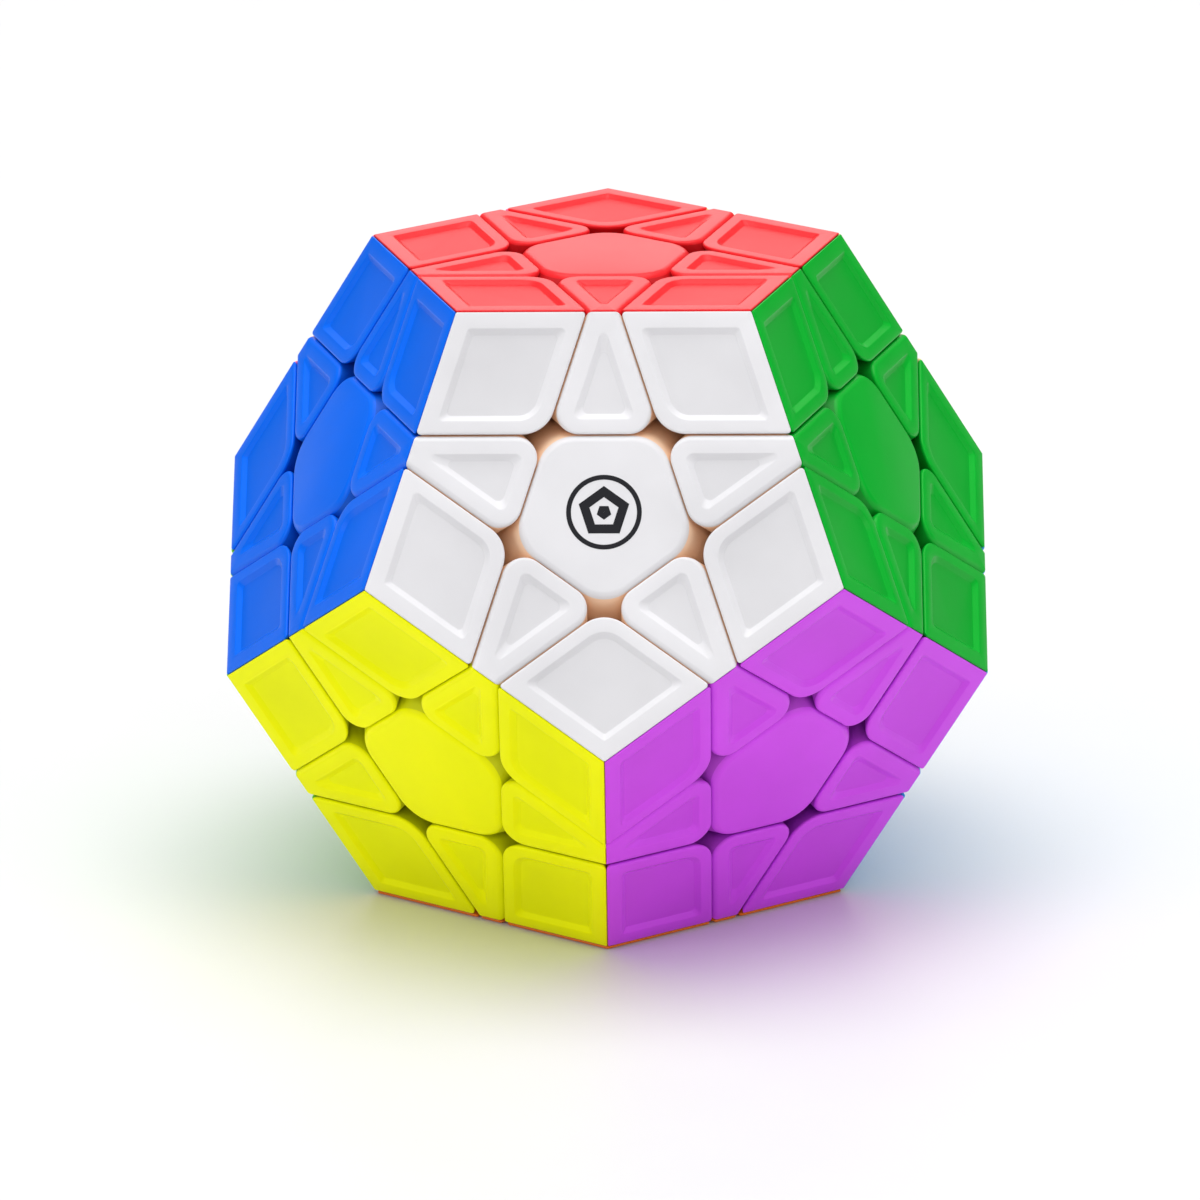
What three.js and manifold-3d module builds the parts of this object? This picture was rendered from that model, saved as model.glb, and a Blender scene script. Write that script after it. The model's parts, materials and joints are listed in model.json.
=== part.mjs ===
// Dodecahedron twisty puzzle, millimetres, +Z up, standing on its orange face.
// Twelve centres turn on a twelve-armed core. Thirty edge pieces and twenty corner pieces are held by
// feet that reach under their neighbours. Every mating surface is either a plane square to a turning
// axis or a sphere about the middle, so that any face can turn.
import * as THREE from 'three';
import { ConvexGeometry } from 'three/addons/geometries/ConvexGeometry.js';
import { mergeVertices } from 'three/addons/utils/BufferGeometryUtils.js';
import Module from 'manifold-3d';

const wasm = await Module();
wasm.setup();

// Outer body
const EDGE_LENGTH = 37; // edge of the dodecahedron
const INRADIUS = (EDGE_LENGTH / 20) * Math.sqrt(250 + 110 * Math.sqrt(5)); // middle to a face
const COS_TILT = 1 / Math.sqrt(5); // between the normals of two neighbouring faces
const SIN_TILT = 2 / Math.sqrt(5);
const FACE_APOTHEM = (INRADIUS * (1 - COS_TILT)) / SIN_TILT; // face middle to its edge
const CENTRE_APOTHEM = 0.258 * EDGE_LENGTH; // face middle to the cut around the centre piece
const CUT = COS_TILT * INRADIUS + SIN_TILT * CENTRE_APOTHEM; // middle to the plane of a cut
const HALF_GAP = 0.2; // each piece stands back this far from a cut

// Rounded upright corners that leave a small diamond opening where four pieces meet
const CENTRE_ROUND = 4.8;
const EDGE_ROUND = 2.7;
const CORNER_ROUND = 4.2;
const ROUND_STEPS = 2; // flats in each rounding

// Shallow recess in the facelets of the edge and corner pieces
const OUTER_RIM = 2.1; // along an edge of the dodecahedron
const CUT_RIM = 2; // along a cut
const RECESS_DEPTH = 0.5;
const RECESS_SLOPE = 1.6; // run of the recess wall for each mm of depth
const EDGE_RECESS_ROUND = 0.8;
const EDGE_RECESS_STEPS = 1;
const CORNER_RECESS_ROUND = 3;
const CORNER_RECESS_STEPS = 2;
const FACE_RELIEF = 1.3; // depth of the groove left between a joined centre and edge

// Hidden mechanism
const SHELL_RADIUS = 37; // sphere between the outer pieces and the feet
const SHELL_GAP = 0.45;
const FOOT_CUT = 22.9; // middle to the plane that bounds a foot
const SHELL_DETAIL = 3;
const NECK_DROP = 3; // faces to the top of an edge piece's neck
const STEM_RADIUS = 6.4;
const STEM_BOTTOM = 20.2;
const STEM_TOP = INRADIUS - 2.2;
const WELL_RADIUS = 3.8;
const WELL_BOTTOM = 23.6;
const WELL_TOP = INRADIUS - 3.2;
const SCREW_HOLE_RADIUS = 1.6;
const CORE_RADIUS = 9.5;
const CORE_DETAIL = 1;
const POST_RADIUS = 4.2;
const POST_TOP = 19.8;
const POST_BORE_RADIUS = 1.7;
const POST_BORE_BOTTOM = 10.5;
const ROUND_SIDES = 12;
const SMALL_ROUND_SIDES = 8;
const OVERRUN = 1; // how far a cutter runs past the surface it opens

// Tension screw and spring of the red centre
const SCREW_RADIUS = 1.25;
const SCREW_TIP = 11;
const SCREW_HEAD_RADIUS = 3.2;
const SCREW_HEAD_BOTTOM = 31;
const SCREW_HEAD_TOP = 33;
const SHANK_OVERLAP = 0.5; // the shank runs this far into the head
const SLOT_HALF_LENGTH = 1.7;
const SLOT_WIDTH = 0.7;
const SLOT_DEPTH = 1.1;
const SPRING_RADIUS = 2.5;
const SPRING_WIRE_RADIUS = 0.4;
const SPRING_BOTTOM = 24.3;
const SPRING_TOP = 30.3;
const SPRING_TURNS = 5;
const SPRING_STEPS_PER_TURN = 8;
const SPRING_WIRE_SIDES = 4;

// Tolerances of the solid modelling
const MERGE_DISTANCE = 1e-5;
const SAME_POINT = 1e-4;
const ON_PLANE = 1e-6;
const PARALLEL_LIMIT = 1e-4;

const COLOURS = {
  red: 0xe0202c,
  white: 0xeeeeec,
  green: 0x14a336,
  cream: 0xf2e3a8,
  pink: 0xf27aa8,
  blue: 0x1560dc,
  purple: 0x9a2fc4,
  light_blue: 0x4fb4ee,
  grey: 0x8a8d90,
  light_green: 0x86dc3a,
  yellow: 0xe4ea10,
  orange: 0xf47a14,
};
const CORE_COLOUR = 0x2b2c2e;
const SCREW_COLOUR = 0xb9bcc0;
const SPRING_COLOUR = 0xc4c6c8;
const GLOSS_ROUGHNESS = 0.3;
const CORE_ROUGHNESS = 0.45;
const UPPER_RING = ['white', 'green', 'cream', 'pink', 'blue'];
const LOWER_RING = ['purple', 'light_blue', 'grey', 'light_green', 'yellow'];
const RING_STEP = (2 * Math.PI) / 5;

// Faces: name and outward normal. The white face looks along -Y.
function ringFaces(names, firstAngle, rise) {
  return names.map((name, i) => {
    const angle = firstAngle + i * RING_STEP;
    const normal = new THREE.Vector3(
      SIN_TILT * Math.sin(angle),
      -SIN_TILT * Math.cos(angle),
      rise * COS_TILT,
    );
    return { name, normal };
  });
}
const TOP = { name: 'red', normal: new THREE.Vector3(0, 0, 1) };
const BASE = { name: 'orange', normal: new THREE.Vector3(0, 0, -1) };
const FACES = [
  TOP,
  ...ringFaces(UPPER_RING, 0, 1),
  ...ringFaces(LOWER_RING, RING_STEP / 2, -1),
  BASE,
];

function touching(a, b) {
  return a !== b && a.normal.dot(b.normal) > COS_TILT / 2;
}

function neighbours(...faces) {
  return FACES.filter((f) => faces.every((g) => touching(f, g)));
}

// A plane keeps the side its normal points away from.
function plane(normal, distance) {
  const length = normal.length();
  return { normal: normal.clone().divideScalar(length), distance: distance / length };
}

function beyond(face, distance) {
  return plane(face.normal.clone().negate(), -distance - HALF_GAP);
}

function within(face, distance) {
  return plane(face.normal, distance - HALF_GAP);
}

function outside(face, drop = 0) {
  return plane(face.normal, INRADIUS - drop);
}

// Planes that round the edge between two planes to the given radius
function rounding(p, q, radius, steps = ROUND_STEPS) {
  const angle = p.normal.angleTo(q.normal);
  const planes = [];
  for (let i = 0; i < steps; i += 1) {
    const t = (i + 0.5) / steps;
    const a = Math.sin((1 - t) * angle) / Math.sin(angle);
    const b = Math.sin(t * angle) / Math.sin(angle);
    const normal = p.normal.clone().multiplyScalar(a).addScaledVector(q.normal, b);
    planes.push(plane(normal, a * (p.distance - radius) + b * (q.distance - radius) + radius));
  }
  return planes;
}

function solid(geometry) {
  const bare = geometry.clone();
  bare.deleteAttribute('normal');
  bare.deleteAttribute('uv');
  const merged = mergeVertices(bare, MERGE_DISTANCE);
  const vertProperties = new Float32Array(merged.attributes.position.array);
  const triVerts = new Uint32Array(merged.index.array);
  return new wasm.Manifold(new wasm.Mesh({ numProp: 3, vertProperties, triVerts }));
}

// The convex body that a set of planes encloses
function enclosed(planes) {
  const points = [];
  const matrix = new THREE.Matrix3();
  for (let i = 0; i < planes.length; i += 1) {
    for (let j = i + 1; j < planes.length; j += 1) {
      for (let k = j + 1; k < planes.length; k += 1) {
        const [p, q, r] = [planes[i], planes[j], planes[k]];
        matrix.set(...p.normal.toArray(), ...q.normal.toArray(), ...r.normal.toArray());
        if (Math.abs(matrix.determinant()) < PARALLEL_LIMIT) continue;
        const point = new THREE.Vector3(p.distance, q.distance, r.distance);
        point.applyMatrix3(matrix.clone().invert());
        const inside = planes.every((s) => s.normal.dot(point) <= s.distance + ON_PLANE);
        if (inside && points.every((s) => s.distanceTo(point) > SAME_POINT)) points.push(point);
      }
    }
  }
  return solid(new ConvexGeometry(points));
}

function ball(radius, detail) {
  return solid(new THREE.IcosahedronGeometry(radius, detail));
}

// A round bar on a face's axis, between two distances from the middle
function bar(face, radius, from, to, sides = ROUND_SIDES) {
  const geometry = new THREE.CylinderGeometry(radius, radius, to - from, sides);
  geometry.translate(0, (from + to) / 2, 0);
  const up = new THREE.Vector3(0, 1, 0);
  geometry.applyQuaternion(new THREE.Quaternion().setFromUnitVectors(up, face.normal));
  return solid(geometry);
}

// Tapered cutter for the recess in one facelet. Each side is a neighbouring face, with its sign and
// its distance from the face middle. The pairs of sides in rounded are rounded between, in so many steps.
function recess(face, sides, radius, rounded, steps) {
  const walls = sides.map(({ toward, sign, distance }) => {
    const across = toward.normal.clone().addScaledVector(face.normal, -COS_TILT);
    across.multiplyScalar(sign / SIN_TILT).addScaledVector(face.normal, -RECESS_SLOPE);
    const rim = distance === FACE_APOTHEM ? OUTER_RIM : CUT_RIM;
    return plane(across, sign * distance - rim - RECESS_SLOPE * INRADIUS);
  });
  const corners = rounded.flatMap(([i, j]) => rounding(walls[i], walls[j], radius, steps));
  const floor = plane(face.normal.clone().negate(), RECESS_DEPTH - INRADIUS);
  const top = plane(face.normal, INRADIUS + OVERRUN);
  return enclosed([...walls, ...corners, floor, top]);
}

const OUTER_BALL = ball(SHELL_RADIUS + SHELL_GAP, SHELL_DETAIL);
const FOOT_BALL = ball(SHELL_RADIUS - SHELL_GAP, SHELL_DETAIL);

function stem(face) {
  return bar(face, STEM_RADIUS, STEM_BOTTOM, STEM_TOP);
}

function well(face) {
  const pocket = bar(face, WELL_RADIUS, WELL_BOTTOM, WELL_TOP);
  const [from, to] = [STEM_BOTTOM - OVERRUN, WELL_BOTTOM + OVERRUN];
  return pocket.add(bar(face, SCREW_HOLE_RADIUS, from, to, SMALL_ROUND_SIDES));
}

// Rounded centre piece on its stem, hollow for the screw and spring
function centreBody(face) {
  const walls = neighbours(face).map((f) => within(f, CUT));
  const corners = [];
  neighbours(face).forEach((f, i) => {
    neighbours(face).forEach((g, j) => {
      if (i < j && touching(f, g)) corners.push(...rounding(walls[i], walls[j], CENTRE_ROUND));
    });
  });
  const cap = enclosed([outside(face), beyond(face, CUT), ...walls, ...corners]);
  return cap.subtract(OUTER_BALL).add(stem(face)).subtract(well(face));
}

// Edge piece: cap, neck and a foot that reaches under both centres
function edgeBody(a, b) {
  const ends = neighbours(a, b);
  const sides = [a, b].map((f) => beyond(f, CUT));
  const caps = ends.map((f) => within(f, CUT));
  const corners = sides.flatMap((s) => caps.flatMap((e) => rounding(s, e, EDGE_ROUND)));
  const cap = enclosed([outside(a), outside(b), ...sides, ...caps, ...corners]);
  const narrow = ends.map((f) => within(f, FOOT_CUT));
  const neck = enclosed([outside(a, NECK_DROP), outside(b, NECK_DROP), ...sides, ...narrow]);
  const wide = [a, b].map((f) => beyond(f, FOOT_CUT));
  const foot = enclosed([outside(a), outside(b), ...wide, ...narrow]).intersect(FOOT_BALL);
  let body = cap.subtract(OUTER_BALL).add(neck).add(foot);
  for (const [face, other] of [[a, b], [b, a]]) {
    const lines = [
      { toward: ends[0], sign: 1, distance: CENTRE_APOTHEM },
      { toward: other, sign: 1, distance: FACE_APOTHEM },
      { toward: ends[1], sign: 1, distance: CENTRE_APOTHEM },
      { toward: other, sign: -1, distance: CENTRE_APOTHEM },
    ];
    const rounded = [[0, 2], [0, 3], [2, 3]];
    body = body.subtract(recess(face, lines, EDGE_RECESS_ROUND, rounded, EDGE_RECESS_STEPS));
  }
  return body;
}

// Corner piece: a wedge that narrows towards the middle, and a foot that reaches under three edge
// pieces
function cornerBody(faces) {
  const sides = faces.map((f) => beyond(f, CUT));
  const roof = faces.map((f) => outside(f));
  const corners = sides.flatMap((s, i) => rounding(s, sides[(i + 1) % 3], CORNER_ROUND));
  const wedge = enclosed([...roof, ...sides, ...corners]);
  const wide = faces.map((f) => beyond(f, FOOT_CUT));
  let body = wedge.add(enclosed([...roof, ...wide]).intersect(FOOT_BALL));
  faces.forEach((face, i) => {
    const [b, c] = [faces[(i + 1) % 3], faces[(i + 2) % 3]];
    const lines = [
      { toward: b, sign: 1, distance: FACE_APOTHEM },
      { toward: c, sign: 1, distance: FACE_APOTHEM },
      { toward: b, sign: -1, distance: CENTRE_APOTHEM },
      { toward: c, sign: -1, distance: CENTRE_APOTHEM },
    ];
    body = body.subtract(recess(face, lines, CORNER_RECESS_ROUND, [[2, 3]], CORNER_RECESS_STEPS));
  });
  return body;
}

// Centre of the lower ring, joined below the surface to the edge piece it shares with the base
function centreWithBaseEdge(face) {
  const walls = neighbours(face).filter((f) => f !== BASE).map((f) => within(f, CUT));
  const roof = [outside(face, FACE_RELIEF), outside(BASE, FACE_RELIEF)];
  const bridge = enclosed([...roof, beyond(face, CUT), ...walls]).subtract(OUTER_BALL);
  return centreBody(face).add(bridge.subtract(well(face))).add(edgeBody(face, BASE));
}

// Core: a ball with one bored post for each face
function coreBody() {
  let body = ball(CORE_RADIUS, CORE_DETAIL);
  for (const face of FACES) {
    body = body.add(bar(face, POST_RADIUS, 0, POST_TOP, SMALL_ROUND_SIDES));
  }
  for (const face of FACES) {
    const [from, to] = [POST_BORE_BOTTOM, POST_TOP + OVERRUN];
    body = body.subtract(bar(face, POST_BORE_RADIUS, from, to, SMALL_ROUND_SIDES));
  }
  return body;
}

function screwBody() {
  const shankTop = SCREW_HEAD_BOTTOM + SHANK_OVERLAP;
  const shank = bar(TOP, SCREW_RADIUS, SCREW_TIP, shankTop, SMALL_ROUND_SIDES);
  const head = bar(TOP, SCREW_HEAD_RADIUS, SCREW_HEAD_BOTTOM, SCREW_HEAD_TOP);
  let body = shank.add(head);
  for (const size of [[SLOT_HALF_LENGTH * 2, SLOT_WIDTH], [SLOT_WIDTH, SLOT_HALF_LENGTH * 2]]) {
    const slot = new THREE.BoxGeometry(size[0], size[1], SLOT_DEPTH * 2);
    slot.translate(0, 0, SCREW_HEAD_TOP);
    body = body.subtract(solid(slot));
  }
  return body;
}

class Coil extends THREE.Curve {
  getPoint(t, target = new THREE.Vector3()) {
    const angle = t * SPRING_TURNS * 2 * Math.PI;
    const height = SPRING_BOTTOM + t * (SPRING_TOP - SPRING_BOTTOM);
    return target.set(SPRING_RADIUS * Math.cos(angle), SPRING_RADIUS * Math.sin(angle), height);
  }
}

function springBody() {
  const wire = new THREE.Shape();
  for (let i = 0; i < SPRING_WIRE_SIDES; i += 1) {
    const angle = (i / SPRING_WIRE_SIDES) * 2 * Math.PI;
    const [x, y] = [Math.cos(angle), Math.sin(angle)].map((v) => v * SPRING_WIRE_RADIUS);
    if (i === 0) wire.moveTo(x, y);
    else wire.lineTo(x, y);
  }
  const steps = SPRING_TURNS * SPRING_STEPS_PER_TURN;
  const options = { steps, bevelEnabled: false, extrudePath: new Coil() };
  return solid(new THREE.ExtrudeGeometry(wire, options));
}

const part = new THREE.Group();
part.name = 'dodecahedron_puzzle';

// Adds one named piece, lifted so that the puzzle stands on z = 0
function addPiece(name, body, color, roughness = GLOSS_ROUGHNESS, metalness = 0) {
  const mesh = body.getMesh();
  const geometry = new THREE.BufferGeometry();
  geometry.setAttribute('position', new THREE.BufferAttribute(mesh.vertProperties, 3));
  geometry.setIndex(new THREE.BufferAttribute(mesh.triVerts, 1));
  geometry.translate(0, 0, INRADIUS);
  geometry.computeVertexNormals();
  const material = new THREE.MeshStandardMaterial({ color, roughness, metalness });
  const piece = new THREE.Mesh(geometry, material);
  piece.name = name;
  part.add(piece);
}

for (const face of FACES) {
  const joined = touching(face, BASE);
  const body = joined ? centreWithBaseEdge(face) : centreBody(face);
  const name = joined ? `centre_${face.name}_edge_${BASE.name}` : `centre_${face.name}`;
  addPiece(name, body, COLOURS[face.name]);
}

FACES.forEach((a, i) => {
  FACES.slice(i + 1).forEach((b) => {
    if (!touching(a, b)) return;
    if (b !== BASE) addPiece(`edge_${a.name}_${b.name}`, edgeBody(a, b), COLOURS[a.name]);
    FACES.slice(FACES.indexOf(b) + 1).forEach((c) => {
      if (!touching(a, c) || !touching(b, c)) return;
      addPiece(`corner_${a.name}_${b.name}_${c.name}`, cornerBody([a, b, c]), COLOURS[a.name]);
    });
  });
});

addPiece('core', coreBody(), CORE_COLOUR, CORE_ROUGHNESS);
addPiece('tension_screw', screwBody(), SCREW_COLOUR, GLOSS_ROUGHNESS, 1);
addPiece('tension_spring', springBody(), SPRING_COLOUR, GLOSS_ROUGHNESS, 1);

export default part;
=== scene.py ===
"""Looks of the dodecahedron twisty puzzle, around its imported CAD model."""

import itertools
import json
import math

import bmesh
import bpy
import numpy as np
from mathutils import Matrix, Vector


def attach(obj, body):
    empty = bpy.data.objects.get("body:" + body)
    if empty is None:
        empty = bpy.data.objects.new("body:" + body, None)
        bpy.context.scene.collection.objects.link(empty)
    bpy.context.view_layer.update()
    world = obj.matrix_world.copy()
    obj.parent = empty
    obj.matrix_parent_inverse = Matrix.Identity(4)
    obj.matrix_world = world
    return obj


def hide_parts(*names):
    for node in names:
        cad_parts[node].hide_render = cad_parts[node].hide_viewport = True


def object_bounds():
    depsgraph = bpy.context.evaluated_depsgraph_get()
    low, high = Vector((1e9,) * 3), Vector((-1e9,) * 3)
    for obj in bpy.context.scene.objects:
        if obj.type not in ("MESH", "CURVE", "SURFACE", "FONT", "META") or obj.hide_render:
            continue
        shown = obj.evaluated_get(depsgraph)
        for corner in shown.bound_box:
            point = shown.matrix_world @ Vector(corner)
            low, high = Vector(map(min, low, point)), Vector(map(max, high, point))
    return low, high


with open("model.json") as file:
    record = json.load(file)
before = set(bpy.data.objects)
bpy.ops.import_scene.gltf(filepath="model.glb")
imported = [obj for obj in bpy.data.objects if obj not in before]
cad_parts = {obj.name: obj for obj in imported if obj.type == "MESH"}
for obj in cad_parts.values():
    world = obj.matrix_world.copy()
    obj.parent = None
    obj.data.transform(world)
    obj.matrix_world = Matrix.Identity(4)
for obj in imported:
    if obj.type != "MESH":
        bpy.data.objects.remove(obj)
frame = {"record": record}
CAD_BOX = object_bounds()
RECORD = frame["record"]

# ---------------------------------------------------------------- sizes, metres
MM = 0.001
LOW, HIGH = CAD_BOX
INRADIUS = (HIGH[2] - LOW[2]) / 2
INRADIUS_PER_EDGE = 1.1135164    # of any regular dodecahedron
EDGE = INRADIUS / INRADIUS_PER_EDGE
COS_TILT = 1 / math.sqrt(5)      # tilt between the normals of two neighbouring faces
SIN_TILT = 2 / math.sqrt(5)
APOTHEM = INRADIUS * (1 - COS_TILT) / SIN_TILT
CENTRE_APOTHEM = 0.258 * EDGE    # middle of a face to the side of its centre piece
CUT = COS_TILT * INRADIUS + SIN_TILT * CENTRE_APOTHEM
CUT_LEAN = 0.5       # run of a cut per unit of depth under a face
SEAM_LEAN = 0.618    # run of the seam between two shells per unit of depth

# Shells and feet. Distances named UNDER, TOP and CUT are from the middle of the puzzle
HALF_GAP = 0.13 * MM             # half the space between two pieces
SEAM = 0.03 * MM                 # half the space between two shells of one piece
BASE_STEP = 0.4 * MM             # how far the shells next to the orange face stop short of it
SHELL_UNDER = 37.45 * MM
CORNER_SHELL_UNDER = 36.2 * MM
FOOT_TOP = 36.55 * MM
FOOT_CUT = 22.9 * MM
NECK_TOP = 38.6 * MM
NECK_REACH = 60 * MM

# Facelets: rounded lips, flat rims and sunken recesses
CENTRE_LIP, CUT_LIP, SEAM_LIP = 0.6 * MM, 0.5 * MM, 0.3 * MM
CUT_RIM, SEAM_RIM, EDGE_RIM = 1.9 * MM, 2.15 * MM, 2.1 * MM
CENTRE_ROUND = 4.8 * MM
EDGE_TIP_ROUND, EDGE_INNER_ROUND = 0.35 * MM, 2.7 * MM
CORNER_TIP_ROUND, CORNER_SIDE_ROUND, CORNER_INNER_ROUND = 0.3 * MM, 0.5 * MM, 4.2 * MM
CORNER_ROUND_FADE = 3 * MM, 12.6 * MM     # depths between which a corner's rounds die out
RECESS_DEPTH = 0.5 * MM
RECESS_RUN = 0.62 * MM                    # width of the recess wall
RECESS_ANGLE = 50                         # slope of the recess wall, degrees
RECESS_TOP_ROUND, RECESS_FLOOR_ROUND = 0.22 * MM, 0.3 * MM
LIP_STEPS = 6
SMALLEST_ROUND, SMALLEST_WALL_ROUND = 0.04 * MM, 0.05 * MM
SMALLEST_SHARE = 0.04                     # of a corner's round, where it has died out
WALL_START = 1.6 * MM                     # depth of the first loop of a wall below its lip
WALL_DEPTHS = np.linspace(0.5 * MM, 16 * MM, 120)
WALL_SHARES = 0.4, 0.75                   # loops between the underside and the wall's start
UNDERSIDE_SHARES = 0.3, 0.65              # loops between the underside's middle and its rim
RECESS_TOP_STEPS, RECESS_FLOOR_STEPS = 3, 4
RECESS_FLOOR_LOOPS = 3                    # last loops of a recess, which take the floor's matte colour, darkened with painted shade
SHRINKING_ROUND = 2 * MM                  # rounds of a recess above this shrink with its inset
CENTRE_STEPS = [10] * 5                   # steps of the arc at each corner of a facelet
EDGE_STEPS, CORNER_STEPS = [5, 12, 12, 5], [4, 5, 14, 5]

SAME_POINT = 1e-7
CARVE_MERGE = 2e-6
UP = Vector((0, 0, 1))

# ---------------------------------------------------------------- faces
NORMALS = {}
for joint in RECORD["behaviour"]["joints"]:
    if joint["name"].startswith("turn_"):
        NORMALS[joint["name"][5:]] = Vector(joint["axis"])
        MIDDLE = Vector(joint["pos_m"])
NORMALS["orange"] = Vector((0, 0, -1))
FACES = list(NORMALS)


def touching(a, b):
    """True for two faces that share an edge."""
    return a != b and NORMALS[a].dot(NORMALS[b]) > COS_TILT / 2


EDGES = [p for p in itertools.combinations(FACES, 2) if touching(*p)]
CORNERS = [
    t for t in itertools.combinations(FACES, 3)
    if all(touching(a, b) for a, b in itertools.combinations(t, 2))
]

BODY_OF = {n: b for b, ns in RECORD["behaviour"]["bodies"].items() for n in ns}


def node_of(*faces):
    """The CAD node that holds the centre, edge or corner piece of these faces."""
    kind = ("centre", "edge", "corner")[len(faces) - 1]
    name = "_".join((kind,) + faces)
    if name in BODY_OF:
        return name
    lower = next(f for f in faces if f != "orange")
    return f"centre_{lower}_edge_orange"


# ---------------------------------------------------------------- mesh helpers
def mesh_from(name, verts, polys):
    """A mesh from its points and its polygons."""
    mesh = bpy.data.meshes.new(name)
    mesh.from_pydata([tuple(v) for v in verts], [], polys)
    mesh.update()
    return mesh


class Side:
    """One side of a facelet: direction and distance from its middle, lean, lip and gap."""

    def __init__(self, degrees, distance, lean, lip, gap):
        self.angle = math.radians(degrees)
        self.distance = distance
        self.lean = lean
        self.lip = lip
        self.gap = gap


def ring(sides, rounds, insets, depths, steps, along=6):
    """One closed loop around a facelet: an arc at each corner, straight runs between.

    Insets and depths go with the sides, rounds and steps with the corner after each side.
    """
    n = len(sides)
    reach = [s.distance + s.lean * d - i - s.gap for s, i, d in zip(sides, insets, depths)]
    arcs = []
    for i in range(n):
        j = (i + 1) % n
        a, b = sides[i].angle, sides[j].angle
        turn = (b - a) % (2 * math.pi)
        r = rounds[i]
        m = np.array([[math.cos(a), math.sin(a)], [math.cos(b), math.sin(b)]])
        c = np.linalg.solve(m, [reach[i] - r, reach[j] - r])
        arc = []
        for k in range(steps[i] + 1):
            t = k / steps[i]
            w = a + turn * t
            depth = depths[i] * (1 - t) + depths[j] * t
            arc.append((c[0] + r * math.cos(w), c[1] + r * math.sin(w), INRADIUS - depth))
        arcs.append(np.array(arc))
    points = []
    for i in range(n):
        points.extend(arcs[i])
        start, end = arcs[i][-1], arcs[(i + 1) % n][0]
        for k in range(1, along):
            points.append(start + (end - start) * k / along)
    return np.array(points)


def facelet(name, sides, rounds, steps, under, recess=None, round_fade=None):
    """A moulded facelet: lip, flat rim, optional recess, leaning walls and a spherical underside."""
    zero = [0.0] * len(sides)
    loops = []

    def wall(depth):
        """The loop of the walls at one depth."""
        keep = 1.0
        if round_fade:
            start, end = round_fade
            keep = min(max((end - depth) / (end - start), SMALLEST_SHARE), 1)
        radii = [max(r * keep, SMALLEST_WALL_ROUND) for r in rounds]
        return ring(sides, radii, zero, [depth] * len(sides), steps)

    # The underside begins where each wall line comes within its radius of the puzzle's middle
    stack = np.array([wall(d) for d in WALL_DEPTHS])
    dist = np.linalg.norm(stack, axis=2)
    bottom = np.empty_like(stack[0])
    for i in range(stack.shape[1]):
        k = int(np.argmax(dist[:, i] < under))
        a, b = dist[k - 1, i], dist[k, i]
        t = (a - under) / (a - b)
        bottom[i] = stack[k - 1, i] * (1 - t) + stack[k, i] * t
    middle = bottom.mean(axis=0)
    for share in UNDERSIDE_SHARES:
        inner = middle + (bottom - middle) * share
        inner *= under / np.linalg.norm(inner, axis=1)[:, None]
        loops.append(inner)
    loops.append(bottom)
    first = wall(WALL_START)
    for t in WALL_SHARES:
        loops.append(bottom * (1 - t) + first * t)
    loops.append(first)
    walls_to = len(loops)
    lips = [s.lip for s in sides]
    for k in range(LIP_STEPS + 1):
        w = math.radians(90 * k / LIP_STEPS)
        loops.append(ring(
            sides,
            [max(r - lip * (1 - math.cos(w)), SMALLEST_ROUND) for r, lip in zip(rounds, lips)],
            [lip * (1 - math.cos(w)) for lip in lips],
            [lip * (1 - math.sin(w)) for lip in lips],
            steps,
        ))
    if recess:
        flat = [Side(math.degrees(s.angle), reach, 0, 0, 0)
                for s, reach in zip(sides, recess["reach"])]
        for inset, depth in recess["profile"]:
            radii = [r - inset if r > SHRINKING_ROUND else r for r in recess["rounds"]]
            insets = [inset * share for share in recess["shares"]]
            loops.append(ring(flat, radii, insets, [depth] * len(flat), steps))
    count = len(loops[0])
    recess_top = (len(loops) - RECESS_FLOOR_LOOPS) * count
    verts = [v for loop in loops for v in loop]
    polys = []
    for a in range(len(loops) - 1):
        for i in range(count):
            j = (i + 1) % count
            polys.append((a * count + i, a * count + j, (a + 1) * count + j, (a + 1) * count + i))
    top = (len(loops) - 1) * count
    polys.append(tuple(range(top, top + count)))
    deep = middle * under / np.linalg.norm(middle)
    verts.append(deep)
    for i in range(count):
        polys.append((len(verts) - 1, (i + 1) % count, i))
    mesh = mesh_from(name, verts, polys)
    # Slot 0 is the outside, slot 1 the walls and the underside, slot 2 the floor of the recess; slots
    # 1 and 2 take darker materials that paint shade
    for polygon in mesh.polygons:
        if max(polygon.vertices) == len(verts) - 1 or min(polygon.vertices) < walls_to * count:
            polygon.material_index = 1
        elif recess and min(polygon.vertices) >= recess_top:
            polygon.material_index = 2
    return mesh


def carve(name, radius, planes, detail=4):
    """A ball cut by planes; each plane keeps the side its normal points away from."""
    bm = bmesh.new()
    bmesh.ops.create_icosphere(bm, subdivisions=detail, radius=radius)
    for normal, distance in planes:
        normal = Vector(normal)
        cut = bmesh.ops.bisect_plane(
            bm, geom=bm.verts[:] + bm.edges[:] + bm.faces[:], dist=SAME_POINT,
            plane_co=normal * (distance / normal.length_squared), plane_no=normal, clear_outer=True,
        )
        edges = [g for g in cut["geom_cut"] if isinstance(g, bmesh.types.BMEdge)]
        if edges:
            bmesh.ops.edgeloop_fill(bm, edges=edges)
    bmesh.ops.remove_doubles(bm, verts=bm.verts[:], dist=CARVE_MERGE)
    bmesh.ops.recalc_face_normals(bm, faces=bm.faces[:])
    mesh = bpy.data.meshes.new(name)
    bm.to_mesh(mesh)
    bm.free()
    return mesh


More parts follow.
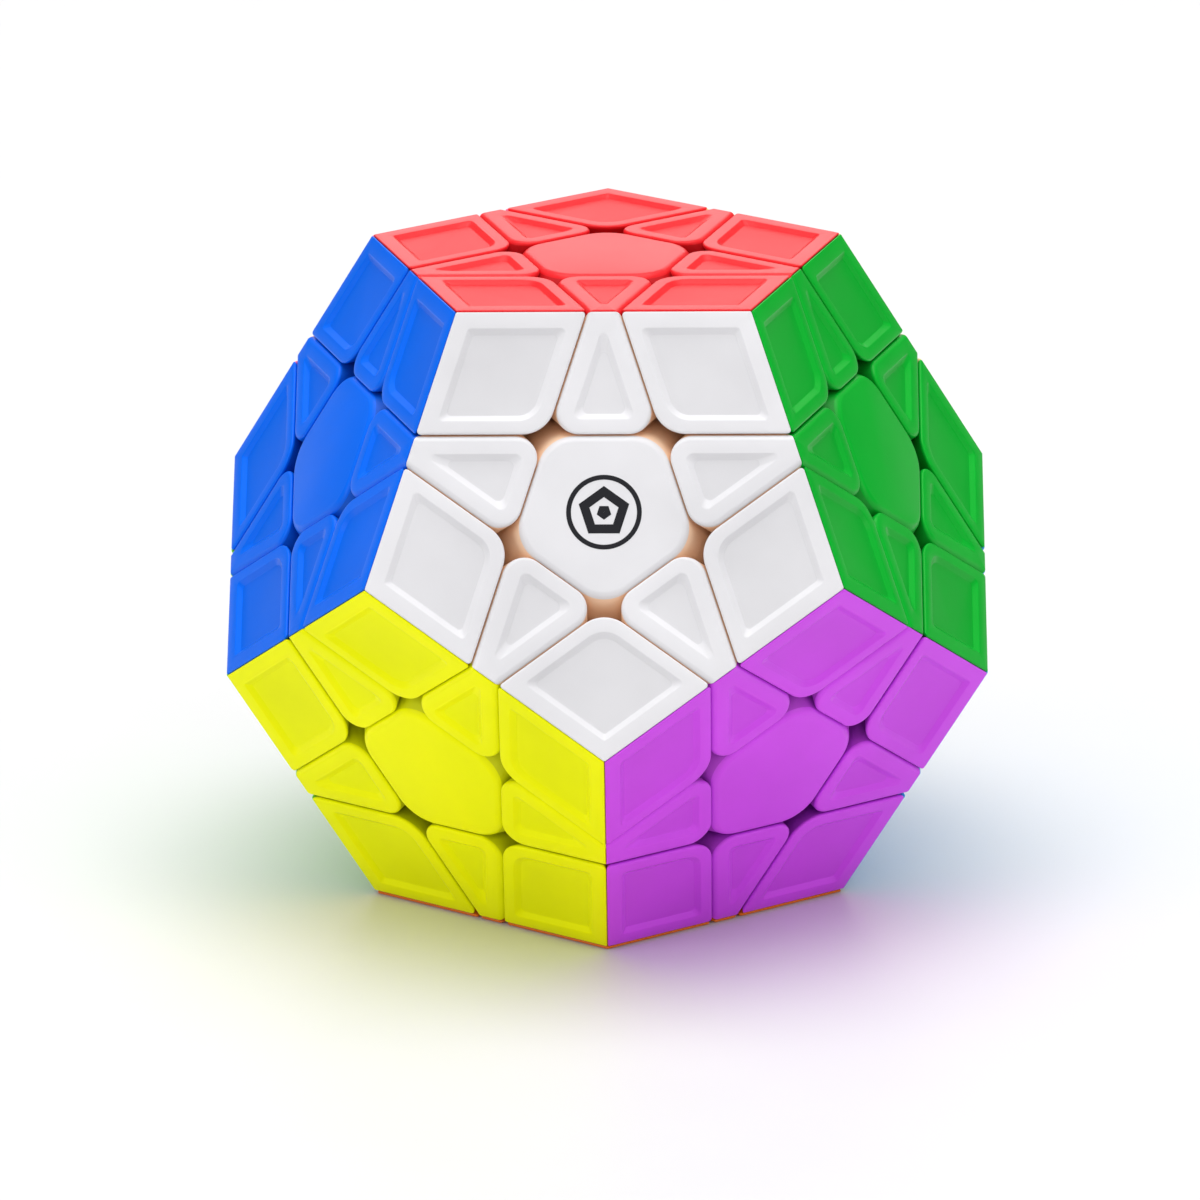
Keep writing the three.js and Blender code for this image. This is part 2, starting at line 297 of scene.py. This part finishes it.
def lathe(name, profile, sides=48):
    """Turns a closed profile of (radius, height) about +Z."""
    verts, polys = [], []
    n = len(profile)
    for k in range(sides):
        w = 2 * math.pi * k / sides
        verts += [(r * math.cos(w), r * math.sin(w), z) for r, z in profile]
    for k in range(sides):
        a, b = k * n, ((k + 1) % sides) * n
        for i in range(n):
            j = (i + 1) % n
            polys.append((a + i, b + i, b + j, a + j))
    mesh = mesh_from(name, verts, polys)
    bm = bmesh.new()
    bm.from_mesh(mesh)
    bmesh.ops.remove_doubles(bm, verts=bm.verts[:], dist=SAME_POINT)
    bmesh.ops.dissolve_degenerate(bm, edges=bm.edges[:], dist=SAME_POINT)
    bmesh.ops.recalc_face_normals(bm, faces=bm.faces[:])
    bm.to_mesh(mesh)
    bm.free()
    return mesh


def joined(name, meshes, slots):
    """One mesh made of several, with a material slot number for each, or None to keep its own."""
    bm = bmesh.new()
    for mesh, slot in zip(meshes, slots):
        start = len(bm.faces)
        bm.from_mesh(mesh)
        bm.faces.ensure_lookup_table()
        for face in bm.faces[start:]:
            if slot is not None:
                face.material_index = slot
    out = bpy.data.meshes.new(name)
    bm.to_mesh(out)
    bm.free()
    return out


def finish_mesh(mesh, angle=38):
    """Smooth shading, with sharp edges from an angle in degrees."""
    for polygon in mesh.polygons:
        polygon.use_smooth = True
    mesh.set_sharp_from_angle(angle=math.radians(angle))
    return mesh


# ---------------------------------------------------------------- prototypes
def tilted(degrees):
    """Normal of the neighbour in that direction, seen from a face whose normal is +Z."""
    w = math.radians(degrees)
    return Vector((SIN_TILT * math.cos(w), SIN_TILT * math.sin(w), COS_TILT))


def recess_profile():
    """Inset and depth from the top of the recess to its floor, with a round at each end."""
    steps = []
    for k in range(RECESS_TOP_STEPS + 1):
        w = math.radians(RECESS_ANGLE * k / RECESS_TOP_STEPS)
        steps.append((RECESS_TOP_ROUND * math.sin(w), RECESS_TOP_ROUND * (1 - math.cos(w))))
    for k in range(RECESS_FLOOR_STEPS + 1):
        w = math.radians(RECESS_ANGLE * (1 - k / RECESS_FLOOR_STEPS))
        inset = RECESS_RUN + RECESS_FLOOR_ROUND * (1 - math.sin(w))
        steps.append((inset, RECESS_DEPTH - RECESS_FLOOR_ROUND * (1 - math.cos(w))))
    return steps


def centre_mesh():
    """Cap of a centre piece: a flat pentagon with rounded corners."""
    sides = [Side(72 * k, CENTRE_APOTHEM, CUT_LEAN, CENTRE_LIP, HALF_GAP) for k in range(5)]
    cap = facelet("centre_cap", sides, [CENTRE_ROUND] * 5, CENTRE_STEPS, SHELL_UNDER)
    return finish_mesh(joined("centre", [cap], [None]))


def edge_mesh(gap=SEAM):
    """Half an edge piece: shell, foot and neck. The gap is the one to the other half."""
    sides = [
        Side(0, APOTHEM, -SEAM_LEAN, SEAM_LIP, gap),
        Side(72, CENTRE_APOTHEM, CUT_LEAN, CUT_LIP, HALF_GAP),
        Side(180, -CENTRE_APOTHEM, -CUT_LEAN, CUT_LIP, HALF_GAP),
        Side(288, CENTRE_APOTHEM, CUT_LEAN, CUT_LIP, HALF_GAP),
    ]
    side_reach = CENTRE_APOTHEM - EDGE_RIM
    # The recess narrows to a rounded apex of this half width at the outside of the face
    apex_round, inner_round, apex_flat = 0.5 * MM, 0.8 * MM, 0.03 * MM
    apex_half = apex_round * math.tan(math.radians(36)) + apex_flat
    turn = math.radians(72)
    apex = (side_reach - apex_half * math.sin(turn)) / math.cos(turn)
    recess = {
        "reach": [apex, side_reach, -CENTRE_APOTHEM - EDGE_RIM, side_reach],
        "rounds": [apex_round, inner_round, inner_round, apex_round],
        "shares": [1 / math.cos(turn), 1, 1, 1],
        "profile": recess_profile(),
    }
    rounds = [EDGE_TIP_ROUND, EDGE_INNER_ROUND, EDGE_INNER_ROUND, EDGE_TIP_ROUND]
    cap = facelet("edge_cap", sides, rounds, EDGE_STEPS, SHELL_UNDER, recess)
    across, left, right = tilted(0), tilted(72), tilted(-72)
    clear, inside, deep = FOOT_CUT + HALF_GAP, FOOT_CUT - HALF_GAP, CUT + HALF_GAP
    foot = carve("edge_foot", FOOT_TOP, [
        (-UP, -clear), (-across, -clear), (left, inside), (right, inside), (across - UP, -SEAM),
    ])
    neck = carve("edge_neck", NECK_REACH, [
        (-UP, -deep), (-across, -deep), (left, inside), (right, inside), (across - UP, -SEAM),
        ((UP + across).normalized(), NECK_TOP),
    ], detail=2)
    return finish_mesh(joined("edge_half", [cap, foot, neck], [None, 1, 1]))


def corner_mesh(right_gap=SEAM, left_gap=SEAM):
    """A third of a corner piece: shell and foot. The gaps are the ones to the other thirds."""
    sides = [
        Side(-36, APOTHEM, -SEAM_LEAN, SEAM_LIP, right_gap),
        Side(36, APOTHEM, -SEAM_LEAN, SEAM_LIP, left_gap),
        Side(144, -CENTRE_APOTHEM, -CUT_LEAN, CUT_LIP, HALF_GAP),
        Side(216, -CENTRE_APOTHEM, -CUT_LEAN, CUT_LIP, HALF_GAP),
    ]
    recess = {
        "reach": [APOTHEM - SEAM_RIM] * 2 + [-CENTRE_APOTHEM - CUT_RIM] * 2,
        "rounds": [0.4 * MM, 0.5 * MM, 3.4 * MM, 0.5 * MM],
        "shares": [1, 1, 1, 1],
        "profile": recess_profile(),
    }
    rounds = [CORNER_TIP_ROUND, CORNER_SIDE_ROUND, CORNER_INNER_ROUND, CORNER_SIDE_ROUND]
    cap = facelet("corner_cap", sides, rounds, CORNER_STEPS, CORNER_SHELL_UNDER, recess,
                  CORNER_ROUND_FADE)
    right, left = tilted(-36), tilted(36)
    clear = FOOT_CUT + HALF_GAP
    foot = carve("corner_foot", FOOT_TOP, [
        (-UP, -clear), (-right, -clear), (-left, -clear), (right - UP, -SEAM), (left - UP, -SEAM),
    ])
    return finish_mesh(joined("corner_third", [cap, foot], [None, 1]))


# ---------------------------------------------------------------- materials
FLOW_SCALE, GRAIN_SCALE, GRAIN_HEIGHT = 60, 1800, 0.02 * MM
GLOSS = 0.22                                            # specular level of most plastic
SHEEN = {"yellow": 0.08, "blue": 0.12, "green": 0.14}   # of the duller ones
# Recess floors are matte, and darker to paint the shade in the recesses
RECESS_ROUGHNESS, RECESS_PAINTED_SHADE = 0.42, 0.93
# Walls and insides are darkened to paint the shade between the pieces
INNER_ROUGHNESS, INNER_PAINTED_SHADE = 0.5, 0.75


def srgb(*levels):
    """A linear colour with alpha from three sRGB levels of 0 to 255."""
    shares = [v / 255 for v in levels]
    return tuple(((v + 0.055) / 1.055) ** 2.4 if v > 0.04045 else v / 12.92 for v in shares) + (1,)


def plastic(name, colour, roughness=0.3, painted_shade=1.0, specular=GLOSS, mottle=0.05):
    """Gloss plastic: faint flow marks in the colour, uneven gloss and a fine moulded surface."""
    material = bpy.data.materials.new(name)
    material.use_nodes = True
    nodes, links = material.node_tree.nodes, material.node_tree.links
    nodes.clear()
    out = nodes.new("ShaderNodeOutputMaterial")
    shader = nodes.new("ShaderNodeBsdfPrincipled")
    coords = nodes.new("ShaderNodeTexCoord")
    flow = nodes.new("ShaderNodeTexNoise")
    flow.inputs["Scale"].default_value = FLOW_SCALE
    flow.inputs["Detail"].default_value = 3
    grain = nodes.new("ShaderNodeTexNoise")
    grain.inputs["Scale"].default_value = GRAIN_SCALE
    grain.inputs["Detail"].default_value = 2
    ramp = nodes.new("ShaderNodeValToRGB")
    # painted_shade darkens the colour to paint shade on recess floors, walls and insides
    dark = tuple(v * painted_shade * (1 - mottle) for v in colour[:3]) + (1,)
    light = tuple(min(v * painted_shade * (1 + mottle), 1) for v in colour[:3]) + (1,)
    ramp.color_ramp.elements[0].color = dark
    ramp.color_ramp.elements[0].position = 0.3
    ramp.color_ramp.elements[1].color = light
    ramp.color_ramp.elements[1].position = 0.7
    gloss = nodes.new("ShaderNodeMapRange")
    gloss.inputs["To Min"].default_value = roughness - 0.04
    gloss.inputs["To Max"].default_value = roughness + 0.05
    bump = nodes.new("ShaderNodeBump")
    bump.inputs["Strength"].default_value = 0.12
    bump.inputs["Distance"].default_value = GRAIN_HEIGHT
    links.new(coords.outputs["Object"], flow.inputs["Vector"])
    links.new(coords.outputs["Object"], grain.inputs["Vector"])
    links.new(flow.outputs["Fac"], ramp.inputs["Fac"])
    links.new(ramp.outputs["Color"], shader.inputs["Base Color"])
    links.new(flow.outputs["Fac"], gloss.inputs["Value"])
    links.new(gloss.outputs["Result"], shader.inputs["Roughness"])
    links.new(grain.outputs["Fac"], bump.inputs["Height"])
    links.new(bump.outputs["Normal"], shader.inputs["Normal"])
    shader.inputs["IOR"].default_value = 1.5
    shader.inputs["Specular IOR Level"].default_value = specular
    links.new(shader.outputs["BSDF"], out.inputs["Surface"])
    return material


COLOURS = {
    "red": srgb(232, 28, 36), "white": srgb(222, 221, 224), "green": srgb(0, 172, 44),
    "cream": srgb(240, 224, 160), "pink": srgb(242, 120, 168), "blue": srgb(0, 104, 236),
    "purple": srgb(213, 77, 238), "light_blue": srgb(70, 176, 240), "grey": srgb(140, 143, 146),
    "light_green": srgb(130, 220, 54), "yellow": srgb(249, 253, 0), "orange": srgb(246, 120, 16),
}
# Painted warm shade: the walls and insides of the white pieces take a warm beige in place of the warm
# shade between the pieces
PAINTED_WARM_SHADE = {"white": srgb(250, 213, 180)}
OUTER_MATERIAL = {
    f: plastic("plastic_" + f, c, specular=SHEEN.get(f, GLOSS)) for f, c in COLOURS.items()
}
# Recess floors: matte, with painted shade
RECESS_MATTE_AND_SHADE_MATERIAL = {
    f: plastic("recess_" + f, c, RECESS_ROUGHNESS, RECESS_PAINTED_SHADE, SHEEN.get(f, GLOSS))
    for f, c in COLOURS.items()
}
# Walls and insides: darker copies of the colours paint the shade between the pieces, and white takes
# the painted warm shade
INNER_PAINTED_SHADE_MATERIAL = {
    f: plastic("inner_" + f, PAINTED_WARM_SHADE.get(f, c), INNER_ROUGHNESS, 1.0 if f in PAINTED_WARM_SHADE else INNER_PAINTED_SHADE)
    for f, c in COLOURS.items()
}
INK = plastic("ink", srgb(24, 24, 30), 0.4)
DARK = plastic("core_black", srgb(44, 45, 48), 0.5)


def metal(name, colour, roughness):
    """Plated steel: fine drawn streaks that vary the gloss."""
    material = plastic(name, colour, roughness, specular=0.5)
    nodes = material.node_tree.nodes
    shader = next(n for n in nodes if n.type == "BSDF_PRINCIPLED")
    shader.inputs["Metallic"].default_value = 1.0
    for noise in (n for n in nodes if n.type == "TEX_NOISE"):
        noise.inputs["Distortion"].default_value = 0.6
    return material


STEEL = metal("zinc_steel", srgb(186, 190, 196), 0.28)

# ---------------------------------------------------------------- mechanism
# Radii are about a face's axis, and places along it are measured from the middle of the puzzle
BALL_RADIUS = 9.5 * MM
POST_RADIUS, POST_TOP, POST_CHAMFER = 4.1 * MM, 19.8 * MM, 0.5 * MM
BORE_RADIUS, BORE_END = 1.5 * MM, 10.5 * MM
FLARE_RADIUS, FLARE_TOP, FLARE_MIDDLE = 5.4 * MM, 11.2 * MM, 8.6 * MM
ROOT_RADIUS, ROOT_HEIGHT = 5.2 * MM, 5.0 * MM
STEM_RADIUS, STEM_UNDER, STEM_TOP = 6.3 * MM, 20.4 * MM, 37.8 * MM
STEM_HEAD, STEM_CHAMFER, STEM_HOLE = 7.4 * MM, 0.7 * MM, 1.6 * MM
HEAD_START, HEAD_FULL = 36.0 * MM, 37.2 * MM      # where the stem's head begins and is full width
WELL_RADIUS, WELL_FLOOR, WELL_CHAMFER = 3.8 * MM, 23.6 * MM, 0.4 * MM
SCREW_TIP, SHANK_RADIUS, THREAD_ROOT = 11.0 * MM, 1.2 * MM, 0.98 * MM
TIP_RADIUS, TIP_BEVEL = 0.7 * MM, 0.3 * MM
THREAD_START, THREAD_PITCH, THREAD_TURNS = 11.8 * MM, 0.5 * MM, 18
SHANK_START = 21.2 * MM
HEAD_RADIUS, HEAD_UNDER = 3.1 * MM, 31.0 * MM
HEAD_HEIGHT = 1.9 * MM
HEAD_CROWN = (0, 0.6 * MM), (0.4 * MM, 1.3 * MM), (1.4 * MM, 1.8 * MM)    # inset and height
SPRING_LOW, SPRING_HIGH, SPRING_TURNS = 24.0 * MM, 30.6 * MM, 6
SPRING_RADIUS, WIRE_RADIUS = 2.3 * MM, 0.32 * MM
CLOSED_TURNS, CLOSED_RISE = 0.9, 0.5 * MM     # end turns, and the height all closed turns take


def stem_mesh():
    """Round stem with a stepped well for the spring and a hole for the screw."""
    return finish_mesh(lathe("stem", [
        (STEM_HOLE, STEM_UNDER), (STEM_RADIUS - STEM_CHAMFER, STEM_UNDER),
        (STEM_RADIUS, STEM_UNDER + STEM_CHAMFER), (STEM_RADIUS, HEAD_START),
        (STEM_HEAD, HEAD_FULL), (STEM_HEAD, STEM_TOP), (WELL_RADIUS, STEM_TOP),
        (WELL_RADIUS, WELL_FLOOR + WELL_CHAMFER), (WELL_RADIUS - WELL_CHAMFER, WELL_FLOOR),
        (STEM_HOLE, WELL_FLOOR),
    ]))


def screw_mesh():
    """Pan-head screw with a threaded end."""
    profile = [(0, SCREW_TIP), (TIP_RADIUS, SCREW_TIP + TIP_BEVEL)]
    for k in range(THREAD_TURNS):
        z = THREAD_START + THREAD_PITCH * k
        profile += [(SHANK_RADIUS, z), (THREAD_ROOT, z + THREAD_PITCH / 2)]
    profile += [(SHANK_RADIUS, SHANK_START), (SHANK_RADIUS, HEAD_UNDER), (HEAD_RADIUS, HEAD_UNDER)]
    profile += [(HEAD_RADIUS - inset, HEAD_UNDER + height) for inset, height in HEAD_CROWN]
    profile.append((0, HEAD_UNDER + HEAD_HEIGHT))
    return finish_mesh(lathe("screw", profile, sides=32), angle=30)


def spring_mesh():
    """Closed coils at both ends and open turns between."""
    per_turn, sides = 28, 8
    count = SPRING_TURNS * per_turn
    path = []
    for k in range(count + 1):
        t = k / count
        rise = (t * SPRING_TURNS - CLOSED_TURNS) / (SPRING_TURNS - 2 * CLOSED_TURNS)
        rise = min(max(rise, 0), 1)
        w = t * SPRING_TURNS * 2 * math.pi
        z = SPRING_LOW + CLOSED_RISE * t + (SPRING_HIGH - SPRING_LOW - CLOSED_RISE) * rise
        path.append(Vector((SPRING_RADIUS * math.cos(w), SPRING_RADIUS * math.sin(w), z)))
    verts, polys = [], []
    for k, point in enumerate(path):
        ahead = (path[min(k + 1, len(path) - 1)] - path[max(k - 1, 0)]).normalized()
        out = Vector((point.x, point.y, 0)).normalized()
        up = ahead.cross(out).normalized()
        out = up.cross(ahead)
        for i in range(sides):
            w = 2 * math.pi * i / sides
            verts.append(point + (out * math.cos(w) + up * math.sin(w)) * WIRE_RADIUS)
    for k in range(len(path) - 1):
        for i in range(sides):
            j = (i + 1) % sides
            a, b = k * sides, (k + 1) * sides
            polys.append((a + i, a + j, b + j, b + i))
    polys.append(tuple(reversed(range(sides))))
    polys.append(tuple(range(len(verts) - sides, len(verts))))
    return finish_mesh(mesh_from("spring", verts, polys), angle=60)


def core_mesh():
    """Ball with twelve bored posts, each flared where it meets the ball."""
    ball = bmesh.new()
    bmesh.ops.create_icosphere(ball, subdivisions=4, radius=BALL_RADIUS)
    mesh = bpy.data.meshes.new("ball")
    ball.to_mesh(mesh)
    ball.free()
    parts = [mesh]
    post = lathe("post", [
        (BORE_RADIUS, BORE_END), (BORE_RADIUS, POST_TOP), (POST_RADIUS - POST_CHAMFER, POST_TOP),
        (POST_RADIUS, POST_TOP - POST_CHAMFER), (POST_RADIUS, FLARE_TOP),
        (FLARE_RADIUS, FLARE_MIDDLE), (ROOT_RADIUS, ROOT_HEIGHT), (BORE_RADIUS, ROOT_HEIGHT),
    ], sides=40)
    for normal in NORMALS.values():
        turned = post.copy()
        turned.transform(normal.to_track_quat("Z", "Y").to_matrix().to_4x4())
        parts.append(turned)
    return finish_mesh(joined("core", parts, [0] * len(parts)))


# ---------------------------------------------------------------- assembly
def place(name, mesh, face, toward, faces):
    """Puts a copy of a prototype on a face, turned towards a direction in that face."""
    z = NORMALS[face].normalized()
    x = (toward - z * toward.dot(z)).normalized()
    data = mesh.copy()
    data.name = name
    turn = Matrix((x, z.cross(x), z)).transposed().to_4x4()
    data.transform(Matrix.Translation(MIDDLE) @ turn)
    for material in (OUTER_MATERIAL, INNER_PAINTED_SHADE_MATERIAL, RECESS_MATTE_AND_SHADE_MATERIAL):
        data.materials.append(material[face])
    piece = bpy.data.objects.new(name, data)
    bpy.context.scene.collection.objects.link(piece)
    node = node_of(*faces)
    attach(piece, BODY_OF[node])
    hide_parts(node)


def fitted(name, mesh, normal, material, body, slot, *nodes):
    """Puts a copy of a round part on a face's axis."""
    data = mesh.copy()
    data.name = name
    turn = normal.to_track_quat("Z", "Y").to_matrix().to_4x4()
    data.transform(Matrix.Translation(MIDDLE) @ turn)
    data.materials.append(material)
    piece = bpy.data.objects.new(name, data)
    bpy.context.scene.collection.objects.link(piece)
    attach(piece, body)
    if nodes:
        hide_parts(*nodes)


CENTRE, EDGE_HALF, CORNER_THIRD = centre_mesh(), edge_mesh(), corner_mesh()
# The shells next to the orange face stop a little short of it, which leaves a line of orange
EDGE_OVER_BASE = edge_mesh(SEAM + BASE_STEP)
CORNER_RIGHT_OVER_BASE = corner_mesh(right_gap=SEAM + BASE_STEP)
CORNER_LEFT_OVER_BASE = corner_mesh(left_gap=SEAM + BASE_STEP)
STEM, SCREW, SPRING = stem_mesh(), screw_mesh(), spring_mesh()
ROOT = BODY_OF["core"]
fitted("core_moulding", core_mesh(), UP, DARK, ROOT, "core_plastic", "core")
for face in FACES:
    neighbour = next(f for f in FACES if touching(face, f))
    place(f"cap_{face}", CENTRE, face, NORMALS[neighbour], (face,))
    node = node_of(face)
    fitted(f"stem_{face}", STEM, NORMALS[face], INNER_PAINTED_SHADE_MATERIAL[face], BODY_OF[node],
           "plastic_" + face, node)
    # The CAD holds one screw and one spring, under the red centre
    screw_nodes, spring_nodes = (["tension_screw"], ["tension_spring"]) if face == "red" else ([], [])
    fitted(f"screw_{face}", SCREW, NORMALS[face], STEEL, ROOT, "screw_steel", *screw_nodes)
    fitted(f"spring_{face}", SPRING, NORMALS[face], STEEL, ROOT, "spring_steel", *spring_nodes)
for pair in EDGES:
    for face, other in (pair, pair[::-1]):
        half = EDGE_OVER_BASE if other == "orange" else EDGE_HALF
        place(f"edge_{pair[0]}_{pair[1]}_{face}_side", half, face, NORMALS[other], pair)
for trio in CORNERS:
    toward = sum((NORMALS[f] for f in trio), Vector())
    for face in trio:
        third = CORNER_THIRD
        if "orange" in trio and face != "orange":
            on_left = NORMALS[face].cross(toward).dot(NORMALS["orange"]) > 0
            third = CORNER_LEFT_OVER_BASE if on_left else CORNER_RIGHT_OVER_BASE
        place(f"corner_{trio[0]}_{trio[1]}_{trio[2]}_{face}_side", third, face, toward, trio)


# ---------------------------------------------------------------- printed motif
INK_HEIGHT = 0.02 * MM
TIP_UP, TIP_DOWN = math.radians(90), math.radians(270)
MOTIF = [    # sides, outer radius, inner radius and turn of each printed shape
    (72, 4.7 * MM, 4.1 * MM, 0),
    (5, 3.3 * MM, 1.9 * MM, TIP_UP),
    (5, 0.95 * MM, 0.02 * MM, TIP_DOWN),
]


def printed(name, loops, face):
    """A thin layer of ink in the middle of a face."""
    bm = bmesh.new()
    for sides, outer, inner, turn in loops:
        rows = []
        for radius, level in ((outer, 0), (outer, INK_HEIGHT), (inner, INK_HEIGHT), (inner, 0)):
            row = []
            for k in range(sides):
                w = turn + 2 * math.pi * k / sides
                point = (radius * math.cos(w), radius * math.sin(w), INRADIUS + level)
                row.append(bm.verts.new(point))
            rows.append(row)
        for a, b in zip(rows, rows[1:] + rows[:1]):
            for k in range(sides):
                j = (k + 1) % sides
                bm.faces.new((a[k], a[j], b[j], b[k]))
    bmesh.ops.recalc_face_normals(bm, faces=bm.faces[:])
    mesh = bpy.data.meshes.new(name)
    bm.to_mesh(mesh)
    bm.free()
    z = NORMALS[face].normalized()
    x = Vector((1, 0, 0))
    turn = Matrix((x, z.cross(x), z)).transposed().to_4x4()
    mesh.transform(Matrix.Translation(MIDDLE) @ turn)
    mesh.materials.append(INK)
    piece = bpy.data.objects.new(name, mesh)
    bpy.context.scene.collection.objects.link(piece)
    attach(piece, BODY_OF[node_of(face)])


printed("white_cap_print", MOTIF, "white")

# ---------------------------------------------------------------- floor, light, camera
FLOOR_DROP = 0.05 * MM   # keeps the floor clear of the base face
FLOOR_SIZE = 8
bpy.ops.mesh.primitive_plane_add(size=FLOOR_SIZE, location=(0, 0, -FLOOR_DROP))
floor = bpy.context.object
floor.name = "floor"
floor_paint = plastic("floor_white", srgb(223, 223, 224), 0.5, specular=0.1, mottle=0.004)
floor.data.materials.append(floor_paint)


def softbox(name, position, size, power):
    """A white rectangular light that faces the puzzle. Size is width and height, power is watts."""
    light = bpy.data.lights.new(name, "AREA")
    light.shape = "RECTANGLE"
    light.size, light.size_y = size
    light.energy = power
    lamp = bpy.data.objects.new(name, light)
    lamp.location = position
    lamp.rotation_euler = (MIDDLE - Vector(position)).to_track_quat("-Z", "Y").to_euler()
    bpy.context.scene.collection.objects.link(lamp)


softbox("overhead", (0, 0.05, 1.5), (1.5, 1.5), 19)
softbox("behind", (0, 1.5, 0.62), (1.0, 0.7), 3.6)
softbox("front", (0, -1.7, 0.75), (1.4, 0.8), 4.4)
softbox("left", (-1.5, -0.8, 0.55), (0.8, 0.8), 5.5)
softbox("right", (1.5, -0.8, 0.55), (0.8, 0.8), 4.5)

# The surroundings are dim near the floor and brighter overhead
world = bpy.data.worlds.new("studio")
bpy.context.scene.world = world
world.use_nodes = True
world_nodes, world_links = world.node_tree.nodes, world.node_tree.links
world_nodes.clear()
sky = world_nodes.new("ShaderNodeBackground")
sky.inputs["Color"].default_value = (1, 1, 1, 1)
direction = world_nodes.new("ShaderNodeTexCoord")
split = world_nodes.new("ShaderNodeSeparateXYZ")
level = world_nodes.new("ShaderNodeMapRange")
level.inputs["From Min"].default_value = 0.1
level.inputs["From Max"].default_value = 0.9
level.inputs["To Min"].default_value = 0.05
level.inputs["To Max"].default_value = 0.8
sky_out = world_nodes.new("ShaderNodeOutputWorld")
world_links.new(direction.outputs["Generated"], split.inputs["Vector"])
world_links.new(split.outputs["Z"], level.inputs["Value"])
world_links.new(level.outputs["Result"], sky.inputs["Strength"])
world_links.new(sky.outputs["Background"], sky_out.inputs["Surface"])

scene = bpy.context.scene
scene.view_settings.view_transform = "Standard"

# The camera looks at the middle of the puzzle from in front and a little above
DISTANCE = 1.339
LENS, SENSOR = 313.7, 36
SHIFT_X, SHIFT_Y = -0.0065, -0.0303
AZIMUTH, ELEVATION, ROLL = (math.radians(v) for v in (0.67, 17.64, -0.41))
back = Vector((
    math.cos(ELEVATION) * math.sin(AZIMUTH),
    -math.cos(ELEVATION) * math.cos(AZIMUTH),
    math.sin(ELEVATION),
))
camera_data = bpy.data.cameras.new("camera")
camera_data.lens = LENS
camera_data.sensor_width = SENSOR
camera_data.shift_x = SHIFT_X
camera_data.shift_y = SHIFT_Y
camera = bpy.data.objects.new("camera", camera_data)
camera.location = MIDDLE + back * DISTANCE
aim = (-back).to_track_quat("-Z", "Y").to_matrix() @ Matrix.Rotation(ROLL, 3, "Z")
camera.rotation_euler = aim.to_euler()
scene.collection.objects.link(camera)
scene.camera = camera
